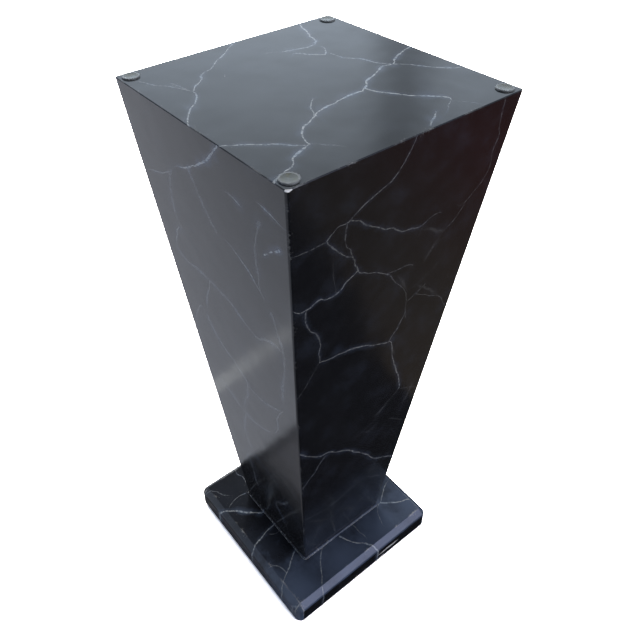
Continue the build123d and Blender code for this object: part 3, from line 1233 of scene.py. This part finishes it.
@dataclass
class Column:
    """The four mitred side boards and the top board over them."""

    top_width: float = 0.292
    foot_width: float = 0.150
    wall: float = 0.012
    corner_round: float = 0.003
    top_edge_round: float = 0.001
    corner_segments: int = 6
    chip_depth: float = 0.0021
    foot_z: float = field(default_factory=lambda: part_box("side_panel_right")[0].z)
    joint_z: float = field(default_factory=lambda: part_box("side_panel_right")[1].z)
    top_z: float = field(default_factory=lambda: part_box("top_board")[1].z)

    @property
    def slope(self) -> float:
        """Returns how far each side leans out for each metre of height."""
        return (self.top_width - self.foot_width) / 2 / (self.top_z - self.foot_z)

    def half_width(self, height: float) -> float:
        """Returns half the column's width at a height."""
        return self.foot_width / 2 + self.slope * (height - self.foot_z)

    def lean(self, mesh: Mesh, verts: Iterable[bmesh.types.BMVert], inward: float) -> None:
        """Moves the corners of a level ring in towards the axis, along the diagonals.

        Args:
            mesh: The mesh being shaped.
            verts: The ring's vertices.
            inward: How far each side moves.
        """
        ring = list(verts)
        for sign_x, sign_y in CORNER_SIGNS.values():
            corner = [vert for vert in ring if vert.co.x * sign_x > 0 and vert.co.y * sign_y > 0]
            bmesh.ops.translate(mesh, verts=corner, vec=(-sign_x * inward, -sign_y * inward, 0.0))

    def block(self, low: float, high: float) -> Mesh:
        """Builds a solid length of the column's outer shape.

        Args:
            low: Height of its lower end.
            high: Height of its upper end.

        Returns:
            The solid's mesh.
        """
        mesh = rounded_square(self.half_width(high), self.corner_round, high, self.corner_segments)
        upper = mesh.faces[:][0]
        lower = bmesh.ops.extrude_face_region(mesh, geom=[upper], use_keep_orig=True)["geom"]
        ring = picked(lower, bmesh.types.BMVert)
        bmesh.ops.translate(mesh, verts=ring, vec=(0.0, 0.0, low - high))
        self.lean(mesh, ring, self.half_width(high) - self.half_width(low))
        bmesh.ops.recalc_face_normals(mesh, faces=mesh.faces)
        return mesh

    def side_board(self, turn: float) -> Mesh:
        """Builds one side board, mitred to its neighbours.

        Args:
            turn: Its turn about the axis, in degrees, from the right-hand side.

        Returns:
            The board's mesh, with raw wood on the faces that don't show.
        """
        mesh = self.block(self.foot_z, self.joint_z)
        for face in mesh.faces:
            face.material_index = 1 if abs(face.normal.z) > 0.9 else 0
        inner = self.half_width(self.foot_z) - self.wall * math.sqrt(1 + self.slope**2)
        cut_away(mesh, (inner, 0.0, self.foot_z), (-1.0, 0.0, self.slope), 1)
        for sign in (-1.0, 1.0):
            cut_away(mesh, (0.0, 0.0, 0.0), (-1.0, sign, 0.0), 1)
        turned = Matrix.Rotation(math.radians(turn), 3, "Z")
        bmesh.ops.rotate(mesh, verts=mesh.verts, cent=(0.0, 0.0, 0.0), matrix=turned)
        return mesh

    def top_board(self) -> Mesh:
        """Builds the top board, with its worn upper edge and the chip at its front right corner.

        Returns:
            The board's mesh: slot 0 above, 1 to 4 on the sides, 5 below and 6 in the chip.
        """
        shoulder = self.top_z - self.top_edge_round
        mesh = self.block(self.joint_z, shoulder)
        upper = max(mesh.faces, key=lambda face: face.calc_center_median().z)
        raise_face(mesh, upper, arc(self.top_edge_round, 0.0, 90.0, 3))
        sides = [Vector((1, 0, 0)), Vector((0, 1, 0)), Vector((-1, 0, 0)), Vector((0, -1, 0))]
        for face in mesh.faces:
            facing = max(range(4), key=lambda index: face.normal.dot(sides[index]))
            face.material_index = 0 if face.normal.z > 0.3 else 1 + facing
            if face.normal.z < -0.9:
                face.material_index = 5
        corner = Vector((self.half_width(self.top_z), -self.half_width(self.top_z), self.top_z))
        for lift, spread, depth in ((0.75, 1.0, 1.0), (1.6, 0.55, 0.8), (0.5, 0.2, 0.75)):
            outward = Vector((1.0, -spread, lift)).normalized()
            cut_away(mesh, corner - outward * self.chip_depth * depth, outward, 6)
        return mesh

    def build(self, finishes: "Finishes") -> None:
        """Places the four side boards and the top board.

        Args:
            finishes: The materials.
        """
        for side, turn in SIDE_TURNS.items():
            materials = [finishes.sides[side], finishes.raw_board]
            node = f"side_panel_{side}"
            Piece(f"side_board_{side}", self.side_board(turn), materials, [node], "marbled_lacquer").place()
        sides = [finishes.sides[side] for side in SIDE_TURNS]
        materials = [finishes.top, *sides, finishes.raw_board, finishes.chip]
        Piece("top_board_lacquered", self.top_board(), materials, ["top_board"], "marbled_lacquer").place()


@dataclass
class BasePlate:
    """The square plate under the column, with a bevel round its upper edge."""

    width: float = 0.266
    bevel: float = 0.0095
    upper_ease: float = 0.0012  # rounding of the bevel's upper edge
    lower_ease: float = 0.0070  # rounding of the bevel's lower edge
    face_corner_radius: float = 0.0015
    lower_round: float = 0.003
    underside_z: float = field(default_factory=lambda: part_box("base_plate")[0].z)
    upper_z: float = field(default_factory=lambda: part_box("base_plate")[1].z)
    screw_reach: float = field(default_factory=lambda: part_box("foot_screws")[1].x)
    screw_head: float = 0.0082
    well_gap: float = 0.0003  # round each screw head
    well_depth: float = 0.0012

    def open_screw_wells(self, mesh: Mesh) -> None:
        """Opens the underside over the four screw heads.

        Args:
            mesh: The plate's mesh, closed below by a single face.
        """
        underside = min(mesh.faces, key=lambda face: face.calc_center_median().z)
        rims = list(underside.edges)
        bmesh.ops.delete(mesh, geom=[underside], context="FACES_ONLY")
        reach = self.screw_reach - self.screw_head / 2
        for x, y in itertools.product((-reach, reach), repeat=2):
            place = Matrix.Translation((x, y, self.underside_z))
            radius = self.screw_head / 2 + self.well_gap
            ring = bmesh.ops.create_circle(mesh, segments=40, radius=radius, matrix=place)["verts"]
            edges = list({edge for vert in ring for edge in vert.link_edges})
            rims += edges
            raised = bmesh.ops.extrude_edge_only(mesh, edges=edges)["geom"]
            verts = picked(raised, bmesh.types.BMVert)
            bmesh.ops.translate(mesh, verts=verts, vec=(0.0, 0.0, self.well_depth))
            bmesh.ops.contextual_create(mesh, geom=picked(raised, bmesh.types.BMEdge))
        bmesh.ops.triangle_fill(mesh, use_beauty=True, edges=rims, normal=(0.0, 0.0, -1.0))

    def mesh(self) -> Mesh:
        """Builds the plate.

        Returns:
            The plate's mesh: slot 0 is lacquer, 1 the scraped right edge and 2 the bare underside.
        """
        corner_radius = self.face_corner_radius + self.bevel
        widest_z = self.underside_z + self.lower_round
        half_turn = math.tan(math.radians(22.5))
        upper_trim, lower_trim = self.upper_ease * half_turn, self.lower_ease * half_turn
        slant = self.bevel - (upper_trim + lower_trim) * math.cos(math.radians(45.0))
        mesh = rounded_square(self.width / 2, corner_radius, widest_z, 10)
        wall = self.upper_z - self.bevel - widest_z - lower_trim
        steps = [(0.0, wall), *arc(self.lower_ease, 0.0, 45.0, 7), (slant, slant)]
        raise_face(mesh, mesh.faces[:][0], [*steps, *arc(self.upper_ease, 45.0, 90.0, 3)])
        raise_face(mesh, close_below(mesh), arc(self.lower_round, 0.0, 90.0, 5))
        self.open_screw_wells(mesh)
        bmesh.ops.recalc_face_normals(mesh, faces=mesh.faces)
        well_floor = self.underside_z + self.well_depth * 1.01
        for face in mesh.faces:
            if face.calc_center_median().z < well_floor and face.normal.z < -0.98:
                face.material_index = 2
            elif face.normal.x > 0.98:
                face.material_index = 1
        return mesh

    def build(self, finishes: "Finishes") -> None:
        """Places the plate.

        Args:
            finishes: The materials.
        """
        materials = [finishes.base, finishes.base_scraped, finishes.raw_board]
        Piece("base_plate_lacquered", self.mesh(), materials, ["base_plate"], "marbled_lacquer").place()


@dataclass
class FootBead:
    """The bead of filler run round the column's foot by finger."""

    width: float = 0.003
    height: float = 0.0035
    rounding: float = 0.002
    corner_round: float = 0.003
    unevenness: float = 0.00025
    foot_z: float = field(default_factory=lambda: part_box("foot_bead")[0].z)

    def mesh(self, column: Column) -> Mesh:
        """Builds the bead as a closed ring, a little uneven along its length.

        Args:
            column: The column that it runs round.

        Returns:
            The bead's mesh.
        """
        outer = column.foot_width / 2 + self.width
        mesh = rounded_square(outer, self.corner_round + self.width, self.foot_z, 8)
        shelf = self.width - self.rounding - column.slope * self.height
        steps = [(0.0, self.height - self.rounding), *arc(self.rounding, 0.0, 90.0, 5), (shelf, 0.0)]
        upper = mesh.faces[:][0]
        raise_face(mesh, upper, steps)
        inner_rim = list(upper.edges)
        outer_rim = [edge for edge in mesh.edges if edge.is_boundary]
        bmesh.ops.delete(mesh, geom=[upper], context="FACES_ONLY")
        made = bmesh.ops.extrude_edge_only(mesh, edges=inner_rim)["geom"]
        lower = picked(made, bmesh.types.BMVert)
        bmesh.ops.translate(mesh, verts=lower, vec=(0.0, 0.0, -self.height))
        column.lean(mesh, lower, column.slope * self.height)
        inner_foot = [edge for edge in picked(made, bmesh.types.BMEdge) if edge.is_boundary]
        bmesh.ops.bridge_loops(mesh, edges=[*inner_foot, *outer_rim])
        long_edges = [edge for edge in mesh.edges if edge.calc_length() > 0.1]
        bmesh.ops.subdivide_edges(mesh, edges=long_edges, cuts=48, use_grid_fill=True)
        for vert in mesh.verts:
            if vert.co.z > self.foot_z + 0.4 * self.height:
                vert.co.z += self.unevenness * noise.noise(vert.co * 160.0)
        return mesh

    def build(self, column: Column, finishes: "Finishes") -> None:
        """Places the bead.

        Args:
            column: The column that it runs round.
            finishes: The materials.
        """
        Piece("foot_bead_filler", self.mesh(column), [finishes.bead], ["foot_bead"], "filler").place()


@dataclass
class Bumpers:
    """Four clear bumpers on the top, where a glass or stone top lies."""

    edge_round: float = 0.0006
    dish_diameter: float = 0.0145
    dish_depth: float = 0.00035
    segments: int = 56

    def mesh(self, node: str) -> Mesh:
        """Builds one bumper in the space of its CAD node.

        Args:
            node: The CAD node.

        Returns:
            The bumper's mesh.
        """
        low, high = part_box(node)
        centre = ((low.x + high.x) / 2, (low.y + high.y) / 2)
        radius = (high.x - low.x) / 2
        mesh = disc(radius, low.z, self.segments, centre)
        dish_radius = self.dish_diameter / 2
        rim = radius - self.edge_round - dish_radius
        fall = [(dish_radius * 0.24, -self.dish_depth * share) for share in (0.42, 0.31, 0.19, 0.08)]
        steps = [
            (0.0, high.z - low.z - self.edge_round),
            *arc(self.edge_round, 0.0, 90.0, 7),
            (rim * 0.9, 0.0),
            (rim * 0.1, -self.dish_depth * 0.03),
            *fall,
        ]
        raise_face(mesh, mesh.faces[:][0], steps)
        close_below(mesh)
        return mesh

    def build(self, finishes: "Finishes") -> None:
        """Places the four bumpers.

        Args:
            finishes: The materials.
        """
        for corner in CORNER_SIGNS:
            node = f"bumper_{corner}"
            Piece(f"clear_{node}", self.mesh(node), [finishes.bumper], [node], "clear_plastic").place()


@dataclass
class FeltPads:
    """Four felt glides under the base plate."""

    edge_round: float = 0.0007
    fuzz: float = 0.00012
    segments: int = 72

    def mesh(self, node: str) -> Mesh:
        """Builds one pad in the space of its CAD node, with a slightly ragged cut edge.

        Args:
            node: The CAD node.

        Returns:
            The pad's mesh.
        """
        low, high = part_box(node)
        centre = ((low.x + high.x) / 2, (low.y + high.y) / 2)
        radius = (high.x - low.x) / 2 - self.fuzz
        mesh = disc(radius, low.z + self.edge_round, self.segments, centre)
        side = high.z - low.z - self.edge_round
        raise_face(mesh, mesh.faces[:][0], [(0.0, side / 3)] * 3)
        raise_face(mesh, close_below(mesh), [*arc(self.edge_round, 0.0, 90.0, 4), (radius * 0.4, 0.0)])
        for vert in mesh.verts:
            outward = Vector((vert.co.x - centre[0], vert.co.y - centre[1], 0.0))
            if outward.length > 0.8 * radius:
                vert.co += outward.normalized() * self.fuzz * noise.noise(vert.co * 2300.0)
        return mesh

    def build(self, finishes: "Finishes") -> None:
        """Places the four pads.

        Args:
            finishes: The materials.
        """
        for corner in CORNER_SIGNS:
            node = f"felt_pad_{corner}"
            Piece(f"glide_{corner}", self.mesh(node), [finishes.felt], [node], "felt").place()


@dataclass
class InnerFrame:
    """The CAD parts that stay as they are: foot board, cleats, battens, screws and nails."""

    def build(self, finishes: "Finishes") -> None:
        """Gives each carried-over node its finish.

        Args:
            finishes: The materials.
        """
        chosen = {
            "foot_board": finishes.raw_board,
            "foot_screws": finishes.steel,
            "top_nails": finishes.steel,
            "top_cleat_front": finishes.wood_along_x,
            "top_cleat_back": finishes.wood_along_x,
            "top_cleat_left": finishes.wood_along_y,
            "top_cleat_right": finishes.wood_along_y,
        }
        chosen.update({f"corner_block_{corner}": finishes.wood_along_z for corner in CORNER_SIGNS})
        for node, material in chosen.items():
            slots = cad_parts[node].data.materials
            slots.clear()
            slots.append(material)
            LOG.info("%s: %s", node, material.name)


# ---------------------------------------------------------------- finishes in place


def beside(*planes: tuple[str, float, float]) -> Measure:
    """Makes a measure of the distance from an edge.

    Args:
        planes: For each edge, the axis that it is measured along, half the width there at the
            floor and how much that half width grows for each metre of height.

    Returns:
        A function that adds the measure to a material.
    """

    def measure(bench: Bench, place: NodeSocket) -> NodeSocket:
        """Adds the nodes that measure the nearest edge."""
        axes = bench.node("ShaderNodeSeparateXYZ", {0: place}).outputs
        nearest: Value = 1.0
        for axis, half, growth in planes:
            edge = bench.math("ADD", bench.product(axes["Z"], growth), half)
            gap = bench.math("SUBTRACT", edge, bench.math("ABSOLUTE", axes[axis]))
            nearest = bench.math("MINIMUM", nearest, bench.math("ABSOLUTE", gap))
        return nearest

    return measure


class Finishes:
    """Every material of the pedestal."""

    def __init__(self, column: Column, plate: BasePlate) -> None:
        """Builds the materials.

        Args:
            column: Gives the edges that wear on the column.
            plate: Gives the edges that wear on the base plate.
        """
        effects = Effects()
        floor_half = column.half_width(0.0)
        lip = ("Z", column.top_z, 0.0)
        side_x, side_y = ("X", floor_half, column.slope), ("Y", floor_half, column.slope)
        half_top = column.top_width / 2
        level = beside(("X", half_top, 0.0), ("Y", half_top, 0.0))
        bright = MarbledLacquer.paints
        dull = ((0.335, 0.325, 0.29, 1.0), (0.215, 0.225, 0.23, 1.0))
        arrangements = {
            "front": (Face.FACING_FRONT, FRONT_VEINS, FRONT_BLOOMS, side_x, 1.15, 1.3, bright),
            "right": (Face.FACING_RIGHT, RIGHT_VEINS, RIGHT_BLOOMS, side_y, 0.95, 0.38, dull),
            "back": (Face.FACING_FRONT, turned_over(RIGHT_VEINS), (), side_x, 0.95, 0.6, dull),
            "left": (Face.FACING_RIGHT, turned_over(FRONT_VEINS), (), side_y, 1.1, 0.9, bright),
        }
        self.sides = {
            side: MarbledLacquer(
                f"lacquer_{side}", face, veins, blooms, beside(edge, lip), brush_width=width,
                paint_strength=strength, rub_share=0.18, paints=paints,
            ).make(effects)
            for side, (face, veins, blooms, edge, width, strength, paints) in arrangements.items()
        }
        self.top = MarbledLacquer(
            "lacquer_top", Face.LEVEL, TOP_VEINS, TOP_BLOOMS, level, brush_width=1.15
        ).make(effects)
        rim = plate.width / 2 - plate.bevel
        base_edge = beside(("X", rim, 0.0), ("Y", rim, 0.0))
        self.base = MarbledLacquer(
            "lacquer_base", Face.LEVEL, BASE_VEINS, BASE_BLOOMS_AND_PAINTED_LIGHT, base_edge, brush_width=1.3
        ).make(effects)
        self.base_scraped = MarbledLacquer(
            "lacquer_base_scraped", Face.LEVEL, BASE_VEINS, scrapes=BASE_SCRAPES
        ).make(effects)
        # The bead is made pale along its lowest edge, next to the base's top, almost the whole way round.
        lowest = beside(("Z", plate.upper_z, 0.0))
        self.bead = MarbledLacquer(
            "lacquer_bead", Face.LEVEL, BASE_VEINS, BASE_BLOOMS_AND_PAINTED_LIGHT, lowest, rub_reach=1.5 * MM, rub_share=0.8,
            rub_from=0.3,
        ).make(effects)
        self.raw_board = RawBoard().make(effects)
        self.chip = RawBoard(
            "bare_primer", (0.74, 0.73, 0.70, 1.0), (0.62, 0.60, 0.55, 1.0), (0.82, 0.82, 0.80, 1.0)
        ).make(effects)
        self.wood_along_x = Softwood("pine_along_x", Vector((1, 0, 0))).make(effects)
        self.wood_along_y = Softwood("pine_along_y", Vector((0, 1, 0))).make(effects)
        self.wood_along_z = Softwood("pine_along_z", Vector((0, 0, 1))).make(effects)
        self.steel = ZincSteel().make(effects)
        self.felt = Felt().make(effects)
        self.bumper = ClearPlastic().make(effects)


# ---------------------------------------------------------------- studio


def staged(name: str, mesh: Mesh, material: bpy.types.Material) -> bpy.types.Object:
    """Makes a mesh part of the studio.

    Args:
        name: The object's name.
        mesh: Its shape, which is used up.
        material: Its finish.

    Returns:
        The new object.
    """
    data = bpy.data.meshes.new(name)
    mesh.to_mesh(data)
    mesh.free()
    data.materials.append(material)
    made = bpy.data.objects.new(name, data)
    bpy.context.scene.collection.objects.link(made)
    return made


@dataclass(frozen=True)
class SkyPatch:
    """A soft bright part of the studio's light tent, wider than it is high."""

    direction: tuple[float, float, float]
    reach: float  # from its middle to its rim, as a share of the distance to the tent
    flatness: float
    light: Colour


@dataclass(frozen=True)
class Lamp:
    """A large soft lamp that no reflection shows: its place, width, power in watts and colour."""

    name: str
    place: tuple[float, float, float]
    size: float
    power: float
    colour: tuple[float, float, float]

    def hang(self) -> None:
        """Hangs the lamp so that it shines at the foot of the object."""
        data = bpy.data.lights.new(self.name, "AREA")
        data.shape = "DISK"
        data.size = self.size
        data.energy = self.power
        data.color = self.colour
        made = bpy.data.objects.new(self.name, data)
        place = Vector(self.place)
        made.matrix_world = Matrix.Translation(place) @ place.to_track_quat("Z", "Y").to_matrix().to_4x4()
        made.visible_glossy = False
        made.visible_transmission = False
        bpy.context.scene.collection.objects.link(made)


@dataclass(frozen=True)
class Card:
    """A card on the floor that only reflections see.

    Its tone changes from one to the other between two places on an axis. The grey card in front of the
    object is painted shadow: it stands for the object's own shadow on the floor.
    """

    name: str
    outline: Route
    first: Colour
    second: Colour
    change: tuple[float, float]
    axis: str = "Y"
    lift: float = 0.0012

    def lay(self) -> None:
        """Lays the card on the floor."""
        mesh = bmesh.new()
        rim = [bmesh.ops.create_vert(mesh, co=(x, y, self.lift))["vert"][0] for x, y in self.outline]
        bmesh.ops.contextual_create(mesh, geom=rim)
        bmesh.ops.recalc_face_normals(mesh, faces=mesh.faces)
        material, bench = new_material(self.name)
        place = bench.object_place()
        along = bench.node("ShaderNodeSeparateXYZ", {0: place}).outputs[self.axis]
        tone = bench.blend(bench.span(along, *self.change), self.first, self.second)
        mottle = bench.span(bench.grain(place, 6.0, 3.0).outputs[0], 0.3, 0.7, 0.0, 0.15)
        shade = bench.blend(mottle, tone, BLACK)
        show(bench, {"Base Color": shade, "Roughness": 1.0, "Specular IOR Level": 0.0})
        made = staged(self.name, mesh, material)
        made.visible_camera = False
        made.visible_diffuse = False
        made.visible_shadow = False


@dataclass
class Studio:
    """A pale floor, a soft light tent and the camera."""

    azimuth: float = 53.174
    elevation: float = 38.103
    roll: float = -1.556
    camera_place: tuple[float, float, float] = (0.50467, -0.41518, 1.04167)
    lens: float = 38.504
    shift: tuple[float, float] = (0.0509, -0.0853)
    floor_size: float = 12.0
    floor_tone: Colour = (0.545, 0.56, 0.60, 1.0)
    floor_light_tone: Colour = (0.58, 0.595, 0.635, 1.0)
    low_tent: Colour = (0.42, 0.52, 0.70, 1.0)
    high_tent: Colour = (0.17, 0.18, 0.21, 1.0)
    patches: tuple[SkyPatch, ...] = (
        SkyPatch((-0.72, 0.58, 0.36), 1.05, 1.9, (1.02, 1.16, 1.28, 1.0)),
        SkyPatch((-0.30, 0.50, 0.80), 0.42, 1.0, (0.18, 0.26, 0.42, 1.0)),
        SkyPatch((0.88, 0.34, 0.33), 0.60, 1.2, (1.95, 2.05, 3.0, 1.0)),
        SkyPatch((-0.63, -0.77, 0.05), 0.34, 1.0, (1.3, 1.4, 1.6, 1.0)),
    )
    bar_ahead: tuple[float, float, float] = (-0.676, 0.737, 0.0)  # a dark upright bar between two patches
    bar_aside: tuple[float, float, float] = (0.737, 0.676, 0.0)
    bar_tone: Colour = (0.02, 0.02, 0.02, 1.0)
    lamps: tuple[Lamp, ...] = (
        Lamp("soft_key", (-2.4, 0.6, 2.2), 1.6, 95.0, (1.0, 0.98, 0.95)),
        Lamp("soft_fill", (2.3, 0.9, 1.5), 1.2, 30.0, (1.0, 0.97, 0.93)),
    )
    cards: tuple[Card, ...] = (
        Card(
            "right_card",
            ((0.135, -0.134), (0.30, -0.30), (1.6, -0.9), (1.6, 0.60), (0.75, 0.436), (0.56, 0.412),
             (0.40, 0.36), (0.32, 0.308), (0.25, 0.295), (-0.30, 0.31), (-0.30, 0.135), (0.135, 0.135)),
            (0.018, 0.018, 0.020, 1.0), (0.018, 0.018, 0.020, 1.0), (-1.0, 1.0),
        ),
        Card(
            "warm_card",
            ((-0.30, 0.31), (0.25, 0.295), (0.32, 0.308), (0.40, 0.36), (0.56, 0.412), (0.75, 0.436),
             (1.6, 0.60), (1.6, 1.8), (-0.30, 1.8)),
            (0.11, 0.088, 0.066, 1.0), (0.13, 0.042, 0.032, 1.0), (0.5, 1.1),
        ),
        # Painted shadow: a grey card where the object's shadow falls on the floor in front, darkest along
        # its left edge at the shadow's core.
        Card(
            "front_shadow_card",
            ((0.135, -0.134), (-0.141, -0.134), (-0.141, -0.45), (0.30, -0.45), (0.30, -0.30)),
            (0.11, 0.11, 0.12, 1.0), (0.27, 0.27, 0.29, 1.0), (-0.132, -0.108), "X",
        ),
        Card(
            "white_strip",
            ((-0.338, -0.10), (-0.338, -0.42), (-0.306, -0.42), (-0.306, -0.10)),
            (0.97, 0.99, 1.0, 1.0), (0.97, 0.99, 1.0, 1.0), (-1.0, 1.0),
        ),
    )
    camera_gain: Colour = (9.0, 8.4, 7.4, 1.0)  # how much paler the floor is to the camera

    def camera(self) -> None:
        """Sets the camera, turned by its three angles."""
        turn, rise, roll = (math.radians(angle) for angle in (self.azimuth, self.elevation, self.roll))
        back = Vector((math.sin(turn) * math.cos(rise), -math.cos(turn) * math.cos(rise), math.sin(rise)))
        level = Vector((math.cos(turn), math.sin(turn), 0.0))
        upright = back.cross(level)
        right = level * math.cos(roll) + upright * math.sin(roll)
        up = upright * math.cos(roll) - level * math.sin(roll)
        data = bpy.data.cameras.new("camera")
        data.lens = self.lens
        data.sensor_width = 36.0
        data.shift_x, data.shift_y = self.shift
        made = bpy.data.objects.new("camera", data)
        facing = Matrix((right, up, back)).transposed().to_4x4()
        made.matrix_world = Matrix.Translation(self.camera_place) @ facing
        bpy.context.scene.collection.objects.link(made)
        bpy.context.scene.camera = made

    def tent_light(self) -> None:
        """Lights the scene from all round, white behind the object as the camera sees it."""
        world = bpy.data.worlds.new("light_tent")
        world.use_nodes = True
        world.node_tree.nodes.clear()
        bench = Bench(world.node_tree)
        direction = bench.node("ShaderNodeTexCoord").outputs["Generated"]
        height = bench.node("ShaderNodeSeparateXYZ", {0: direction}).outputs["Z"]
        light: Value = bench.blend(bench.span(height, 0.1, 0.7), self.low_tent, self.high_tent)
        for patch in self.patches:
            offset = bench.moved(direction, Vector(patch.direction).normalized(), "SUBTRACT")
            away = bench.measure("LENGTH", bench.moved(offset, (1.0, 1.0, patch.flatness), "MULTIPLY"))
            added = bench.blend(bench.span(away, 0.0, patch.reach, 1.0, 0.0), BLACK, patch.light)
            light = bench.blend(1.0, light, added, "ADD")
        ahead = bench.measure("DOT_PRODUCT", direction, self.bar_ahead)
        aside = bench.math("ABSOLUTE", bench.measure("DOT_PRODUCT", direction, self.bar_aside))
        bar = bench.product(bench.span(aside, 0.012, 0.062, 0.6, 0.0), bench.span(ahead, 0.0, 0.2))
        light = bench.blend(bar, light, self.bar_tone)
        seen = bench.node("ShaderNodeLightPath").outputs["Is Camera Ray"]
        shown = bench.blend(seen, light, WHITE)
        background = bench.node("ShaderNodeBackground", {"Color": shown, "Strength": 1.0})
        bench.node("ShaderNodeOutputWorld", {"Surface": background.outputs[0]})
        bpy.context.scene.world = world

    def floor(self) -> None:
        """Lays the pale floor."""
        mesh = bmesh.new()
        bmesh.ops.create_grid(mesh, x_segments=1, y_segments=1, size=self.floor_size / 2)
        material, bench = new_material("pale_floor")
        place = bench.object_place()
        tone = bench.blend(bench.grain(place, 3.0, 3.0).outputs[0], self.floor_tone, self.floor_light_tone)
        seen = bench.node("ShaderNodeLightPath").outputs["Is Camera Ray"]
        paler = bench.blend(1.0, tone, self.camera_gain, "MULTIPLY")
        shade = bench.blend(seen, tone, paler)
        show(bench, {"Base Color": shade, "Roughness": 1.0, "Specular IOR Level": 0.0})
        staged("floor", mesh, material)

    def build(self) -> None:
        """Sets up everything round the object."""
        bpy.context.scene.view_settings.view_transform = "Standard"
        self.camera()
        self.tent_light()
        self.floor()
        for lamp in self.lamps:
            lamp.hang()
        for card in self.cards:
            card.lay()


def main() -> None:
    """Builds the pedestal and the studio."""
    logging.basicConfig(level=logging.INFO, format="%(name)s: %(message)s")
    column, plate = Column(), BasePlate()
    finishes = Finishes(column, plate)
    column.build(finishes)
    plate.build(finishes)
    FootBead().build(column, finishes)
    Bumpers().build(finishes)
    FeltPads().build(finishes)
    InnerFrame().build(finishes)
    Studio().build()


if __name__ == "__main__":
    main()
